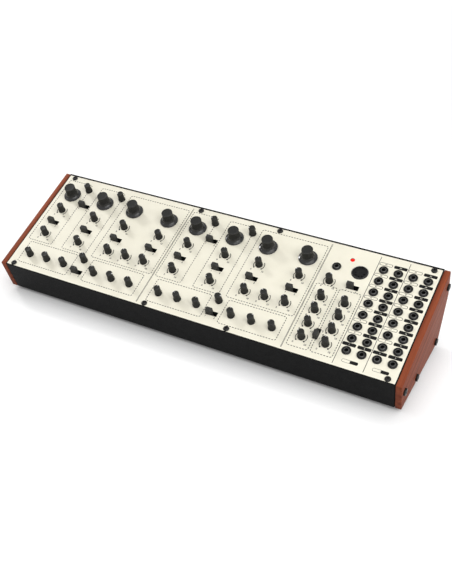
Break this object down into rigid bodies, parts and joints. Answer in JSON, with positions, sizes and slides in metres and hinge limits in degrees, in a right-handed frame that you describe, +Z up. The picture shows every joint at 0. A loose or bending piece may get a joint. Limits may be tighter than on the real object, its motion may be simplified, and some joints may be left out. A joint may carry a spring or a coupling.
{
  "type": "analog synthesizer module",
  "caption": "Desktop analog synthesizer module: a tilted cream panel of knobs, slide switches and patch sockets in a black steel case between wooden cheeks.",
  "frame": {"origin": "centre of the bounding box's bottom face, level with the undersides of the feet", "axes": "+X to the player's right along the panel, +Y from the low front edge to the tall rear, +Z up"},
  "size_m": [0.4232, 0.1344, 0.0899],
  "materials": {
    "panel_cream": "cream semi-matt paint with printed black lines",
    "black_steel": "black fine-texture powder coat",
    "reddish_wood": "reddish brown stain under satin lacquer",
    "black_plastic": "black satin plastic",
    "board_green": "green circuit board with solder mask",
    "dark_socket": "dark glossy plastic with dark metal nuts",
    "red_lens": "red glossy lens",
    "black_rubber": "black rubber"
  },
  "bodies": {
    "chassis": {"case_shell": "black_steel", "control_board": "board_green", "dc_inlet": "dark_socket", "foot_front_left": "black_rubber", "foot_front_right": "black_rubber", "foot_rear_left": "black_rubber", "foot_rear_right": "black_rubber", "front_panel": "panel_cream", "jack_board": "board_green", "left_cheek": "reddish_wood", "main_board": "board_green", "midi_socket": "dark_socket", "phones_socket": "dark_socket", "right_cheek": "reddish_wood", "status_led": "red_lens", "usb_socket": "dark_socket"},
    "voice1_oscillator_a_fine_knob": {"voice1_oscillator_a_fine_knob": "black_plastic"},
    "voice1_oscillator_b_fine_knob": {"voice1_oscillator_b_fine_knob": "black_plastic"},
    "voice1_oscillator_a_mod_knob": {"voice1_oscillator_a_mod_knob": "black_plastic"},
    "voice1_oscillator_b_mod_knob": {"voice1_oscillator_b_mod_knob": "black_plastic"},
    "voice1_filter_envelope_knob": {"voice1_filter_envelope_knob": "black_plastic"},
    "voice1_filter_tracking_knob": {"voice1_filter_tracking_knob": "black_plastic"},
    "voice1_oscillator_a_width_knob": {"voice1_oscillator_a_width_knob": "black_plastic"},
    "voice1_oscillator_b_width_knob": {"voice1_oscillator_b_width_knob": "black_plastic"},
    "voice1_mixer_a_knob": {"voice1_mixer_a_knob": "black_plastic"},
    "voice1_mixer_b_knob": {"voice1_mixer_b_knob": "black_plastic"},
    "voice1_mixer_noise_knob": {"voice1_mixer_noise_knob": "black_plastic"},
    "voice1_glide_knob": {"voice1_glide_knob": "black_plastic"},
    "voice1_envelope_a_attack_knob": {"voice1_envelope_a_attack_knob": "black_plastic"},
    "voice1_envelope_a_decay_knob": {"voice1_envelope_a_decay_knob": "black_plastic"},
    "voice1_envelope_a_sustain_knob": {"voice1_envelope_a_sustain_knob": "black_plastic"},
    "voice1_envelope_b_attack_knob": {"voice1_envelope_b_attack_knob": "black_plastic"},
    "voice1_envelope_b_decay_knob": {"voice1_envelope_b_decay_knob": "black_plastic"},
    "voice1_envelope_b_sustain_knob": {"voice1_envelope_b_sustain_knob": "black_plastic"},
    "voice1_oscillator_a_tune_dial": {"voice1_oscillator_a_tune_dial": "black_plastic"},
    "voice1_oscillator_b_tune_dial": {"voice1_oscillator_b_tune_dial": "black_plastic"},
    "voice1_filter_cutoff_dial": {"voice1_filter_cutoff_dial": "black_plastic"},
    "voice1_filter_resonance_dial": {"voice1_filter_resonance_dial": "black_plastic"},
    "voice1_sync_switch": {"voice1_sync_switch": "black_plastic"},
    "voice1_oscillator_a_wave_switch": {"voice1_oscillator_a_wave_switch": "black_plastic"},
    "voice1_oscillator_b_wave_switch": {"voice1_oscillator_b_wave_switch": "black_plastic"},
    "voice1_filter_mode_switch": {"voice1_filter_mode_switch": "black_plastic"},
    "voice1_filter_range_switch": {"voice1_filter_range_switch": "black_plastic"},
    "voice1_envelope_mode_switch": {"voice1_envelope_mode_switch": "black_plastic"},
    "voice2_oscillator_a_tune_dial": {"voice2_oscillator_a_tune_dial": "black_plastic"},
    "voice2_oscillator_b_tune_dial": {"voice2_oscillator_b_tune_dial": "black_plastic"},
    "voice2_filter_cutoff_dial": {"voice2_filter_cutoff_dial": "black_plastic"},
    "voice2_filter_resonance_dial": {"voice2_filter_resonance_dial": "black_plastic"},
    "volume_knob": {"volume_knob": "black_plastic"},
    "lfo_a_rate_knob": {"lfo_a_rate_knob": "black_plastic"},
    "lfo_a_depth_knob": {"lfo_a_depth_knob": "black_plastic"},
    "lfo_a_delay_knob": {"lfo_a_delay_knob": "black_plastic"},
    "noise_color_knob": {"noise_color_knob": "black_plastic"},
    "lfo_b_rate_knob": {"lfo_b_rate_knob": "black_plastic"},
    "lfo_b_depth_knob": {"lfo_b_depth_knob": "black_plastic"},
    "lfo_b_delay_knob": {"lfo_b_delay_knob": "black_plastic"},
    "voice_balance_knob": {"voice_balance_knob": "black_plastic"},
    "voice_mode_switch": {"voice_mode_switch": "black_plastic"},
    "lfo_shape_switch": {"lfo_shape_switch": "black_plastic"},
    "power_rocker": {"power_rocker": "black_plastic"}
  },
  "joints": [
    {"name": "voice1_oscillator_a_fine_knob_turn", "type": "hinge", "parent": "chassis", "child": "voice1_oscillator_a_fine_knob", "pos_m": [-0.1707, 0.04006, 0.08003], "axis": [0, -0.3665, 0.9304], "range_deg": [-240, 60]},
    {"name": "voice1_oscillator_b_fine_knob_turn", "type": "hinge", "parent": "chassis", "child": "voice1_oscillator_b_fine_knob", "pos_m": [-0.1299, 0.04006, 0.08003], "axis": [0, -0.3665, 0.9304], "range_deg": [-255, 45]},
    {"name": "voice1_oscillator_a_mod_knob_turn", "type": "hinge", "parent": "chassis", "child": "voice1_oscillator_a_mod_knob", "pos_m": [-0.1847, 0.00889, 0.06775], "axis": [0, -0.3665, 0.9304], "range_deg": [-165, 135]},
    {"name": "voice1_oscillator_b_mod_knob_turn", "type": "hinge", "parent": "chassis", "child": "voice1_oscillator_b_mod_knob", "pos_m": [-0.1439, 0.00889, 0.06775], "axis": [0, -0.3665, 0.9304], "range_deg": [-165, 135]},
    {"name": "voice1_filter_envelope_knob_turn", "type": "hinge", "parent": "chassis", "child": "voice1_filter_envelope_knob", "pos_m": [-0.108, 0.00889, 0.06775], "axis": [0, -0.3665, 0.9304], "range_deg": [-105, 195]},
    {"name": "voice1_filter_tracking_knob_turn", "type": "hinge", "parent": "chassis", "child": "voice1_filter_tracking_knob", "pos_m": [-0.0672, 0.00889, 0.06775], "axis": [0, -0.3665, 0.9304], "range_deg": [-90, 210]},
    {"name": "voice1_oscillator_a_width_knob_turn", "type": "hinge", "parent": "chassis", "child": "voice1_oscillator_a_width_knob", "pos_m": [-0.1847, -0.022, 0.05559], "axis": [0, -0.3665, 0.9304], "range_deg": [-180, 120]},
    {"name": "voice1_oscillator_b_width_knob_turn", "type": "hinge", "parent": "chassis", "child": "voice1_oscillator_b_width_knob", "pos_m": [-0.1439, -0.022, 0.05559], "axis": [0, -0.3665, 0.9304], "range_deg": [-75, 225]},
    {"name": "voice1_mixer_a_knob_turn", "type": "hinge", "parent": "chassis", "child": "voice1_mixer_a_knob", "pos_m": [-0.108, -0.022, 0.05559], "axis": [0, -0.3665, 0.9304], "range_deg": [-135, 165]},
    {"name": "voice1_mixer_b_knob_turn", "type": "hinge", "parent": "chassis", "child": "voice1_mixer_b_knob", "pos_m": [-0.0876, -0.022, 0.05559], "axis": [0, -0.3665, 0.9304], "range_deg": [-180, 120]},
    {"name": "voice1_mixer_noise_knob_turn", "type": "hinge", "parent": "chassis", "child": "voice1_mixer_noise_knob", "pos_m": [-0.0672, -0.022, 0.05559], "axis": [0, -0.3665, 0.9304], "range_deg": [-120, 180]},
    {"name": "voice1_glide_knob_turn", "type": "hinge", "parent": "chassis", "child": "voice1_glide_knob", "pos_m": [-0.1258, -0.03893, 0.04892], "axis": [0, -0.3665, 0.9304], "range_deg": [-165, 135]},
    {"name": "voice1_envelope_a_attack_knob_turn", "type": "hinge", "parent": "chassis", "child": "voice1_envelope_a_attack_knob", "pos_m": [-0.1847, -0.04945, 0.04477], "axis": [0, -0.3665, 0.9304], "range_deg": [-165, 135]},
    {"name": "voice1_envelope_a_decay_knob_turn", "type": "hinge", "parent": "chassis", "child": "voice1_envelope_a_decay_knob", "pos_m": [-0.1643, -0.04945, 0.04477], "axis": [0, -0.3665, 0.9304], "range_deg": [-150, 150]},
    {"name": "voice1_envelope_a_sustain_knob_turn", "type": "hinge", "parent": "chassis", "child": "voice1_envelope_a_sustain_knob", "pos_m": [-0.1439, -0.04945, 0.04477], "axis": [0, -0.3665, 0.9304], "range_deg": [-195, 105]},
    {"name": "voice1_envelope_b_attack_knob_turn", "type": "hinge", "parent": "chassis", "child": "voice1_envelope_b_attack_knob", "pos_m": [-0.108, -0.04945, 0.04477], "axis": [0, -0.3665, 0.9304], "range_deg": [-165, 135]},
    {"name": "voice1_envelope_b_decay_knob_turn", "type": "hinge", "parent": "chassis", "child": "voice1_envelope_b_decay_knob", "pos_m": [-0.0876, -0.04945, 0.04477], "axis": [0, -0.3665, 0.9304], "range_deg": [-75, 225]},
    {"name": "voice1_envelope_b_sustain_knob_turn", "type": "hinge", "parent": "chassis", "child": "voice1_envelope_b_sustain_knob", "pos_m": [-0.0672, -0.04945, 0.04477], "axis": [0, -0.3665, 0.9304], "range_deg": [-165, 135]},
    {"name": "voice1_oscillator_a_tune_dial_turn", "type": "hinge", "parent": "chassis", "child": "voice1_oscillator_a_tune_dial", "pos_m": [-0.1851, 0.02982, 0.076], "axis": [0, -0.3665, 0.9304], "range_deg": [-150, 150]},
    {"name": "voice1_oscillator_b_tune_dial_turn", "type": "hinge", "parent": "chassis", "child": "voice1_oscillator_b_tune_dial", "pos_m": [-0.1443, 0.02982, 0.076], "axis": [0, -0.3665, 0.9304], "range_deg": [-150, 150]},
    {"name": "voice1_filter_cutoff_dial_turn", "type": "hinge", "parent": "chassis", "child": "voice1_filter_cutoff_dial", "pos_m": [-0.1084, 0.02982, 0.076], "axis": [0, -0.3665, 0.9304], "range_deg": [-150, 150]},
    {"name": "voice1_filter_resonance_dial_turn", "type": "hinge", "parent": "chassis", "child": "voice1_filter_resonance_dial", "pos_m": [-0.0676, 0.02982, 0.076], "axis": [0, -0.3665, 0.9304], "range_deg": [-150, 150]},
    {"name": "voice1_sync_switch_slide", "type": "slide", "parent": "chassis", "child": "voice1_sync_switch", "axis": [1, 0, 0], "range_m": [0, 0.0044]},
    {"name": "voice1_oscillator_a_wave_switch_slide", "type": "slide", "parent": "chassis", "child": "voice1_oscillator_a_wave_switch", "axis": [1, 0, 0], "range_m": [0, 0.0044]},
    {"name": "voice1_oscillator_b_wave_switch_slide", "type": "slide", "parent": "chassis", "child": "voice1_oscillator_b_wave_switch", "axis": [1, 0, 0], "range_m": [0, 0.0044]},
    {"name": "voice1_filter_mode_switch_slide", "type": "slide", "parent": "chassis", "child": "voice1_filter_mode_switch", "axis": [1, 0, 0], "range_m": [0, 0.0044]},
    {"name": "voice1_filter_range_switch_slide", "type": "slide", "parent": "chassis", "child": "voice1_filter_range_switch", "axis": [1, 0, 0], "range_m": [0, 0.0044]},
    {"name": "voice1_envelope_mode_switch_slide", "type": "slide", "parent": "chassis", "child": "voice1_envelope_mode_switch", "axis": [1, 0, 0], "range_m": [0, 0.0044]},
    {"name": "voice2_oscillator_a_tune_dial_turn", "type": "hinge", "parent": "chassis", "child": "voice2_oscillator_a_tune_dial", "pos_m": [-0.0349, 0.02982, 0.076], "axis": [0, -0.3665, 0.9304], "range_deg": [-150, 150]},
    {"name": "voice2_oscillator_b_tune_dial_turn", "type": "hinge", "parent": "chassis", "child": "voice2_oscillator_b_tune_dial", "pos_m": [0.0059, 0.02982, 0.076], "axis": [0, -0.3665, 0.9304], "range_deg": [-150, 150]},
    {"name": "voice2_filter_cutoff_dial_turn", "type": "hinge", "parent": "chassis", "child": "voice2_filter_cutoff_dial", "pos_m": [0.0418, 0.02982, 0.076], "axis": [0, -0.3665, 0.9304], "range_deg": [-150, 150]},
    {"name": "voice2_filter_resonance_dial_turn", "type": "hinge", "parent": "chassis", "child": "voice2_filter_resonance_dial", "pos_m": [0.0826, 0.02982, 0.076], "axis": [0, -0.3665, 0.9304], "range_deg": [-150, 150]},
    {"name": "volume_knob_turn", "type": "hinge", "parent": "chassis", "child": "volume_knob", "pos_m": [0.1115, 0.01196, 0.06896], "axis": [0, -0.3665, 0.9304], "range_deg": [-120, 180]},
    {"name": "lfo_a_rate_knob_turn", "type": "hinge", "parent": "chassis", "child": "lfo_a_rate_knob", "pos_m": [0.1115, -0.00637, 0.06174], "axis": [0, -0.3665, 0.9304], "range_deg": [-120, 180]},
    {"name": "lfo_a_depth_knob_turn", "type": "hinge", "parent": "chassis", "child": "lfo_a_depth_knob", "pos_m": [0.1115, -0.02051, 0.05617], "axis": [0, -0.3665, 0.9304], "range_deg": [-195, 105]},
    {"name": "lfo_a_delay_knob_turn", "type": "hinge", "parent": "chassis", "child": "lfo_a_delay_knob", "pos_m": [0.1115, -0.03521, 0.05038], "axis": [0, -0.3665, 0.9304], "range_deg": [-150, 150]},
    {"name": "noise_color_knob_turn", "type": "hinge", "parent": "chassis", "child": "noise_color_knob", "pos_m": [0.1115, -0.04945, 0.04477], "axis": [0, -0.3665, 0.9304], "range_deg": [-225, 75]},
    {"name": "lfo_b_rate_knob_turn", "type": "hinge", "parent": "chassis", "child": "lfo_b_rate_knob", "pos_m": [0.1341, -0.00637, 0.06174], "axis": [0, -0.3665, 0.9304], "range_deg": [-195, 105]},
    {"name": "lfo_b_depth_knob_turn", "type": "hinge", "parent": "chassis", "child": "lfo_b_depth_knob", "pos_m": [0.1341, -0.02051, 0.05617], "axis": [0, -0.3665, 0.9304], "range_deg": [-120, 180]},
    {"name": "lfo_b_delay_knob_turn", "type": "hinge", "parent": "chassis", "child": "lfo_b_delay_knob", "pos_m": [0.1341, -0.03521, 0.05038], "axis": [0, -0.3665, 0.9304], "range_deg": [-150, 150]},
    {"name": "voice_balance_knob_turn", "type": "hinge", "parent": "chassis", "child": "voice_balance_knob", "pos_m": [0.1341, -0.04945, 0.04477], "axis": [0, -0.3665, 0.9304], "range_deg": [-150, 150]},
    {"name": "voice_mode_switch_slide", "type": "slide", "parent": "chassis", "child": "voice_mode_switch", "axis": [1, 0, 0], "range_m": [0, 0.0044]},
    {"name": "lfo_shape_switch_slide", "type": "slide", "parent": "chassis", "child": "lfo_shape_switch", "axis": [0, 0.9304, 0.3665], "range_m": [0, 0.0044]},
    {"name": "power_rocker_tilt", "type": "hinge", "parent": "chassis", "child": "power_rocker", "pos_m": [-0.1432, 0.06049, 0.06637], "axis": [1, 0, 0], "range_deg": [0, 20]}
  ]
}
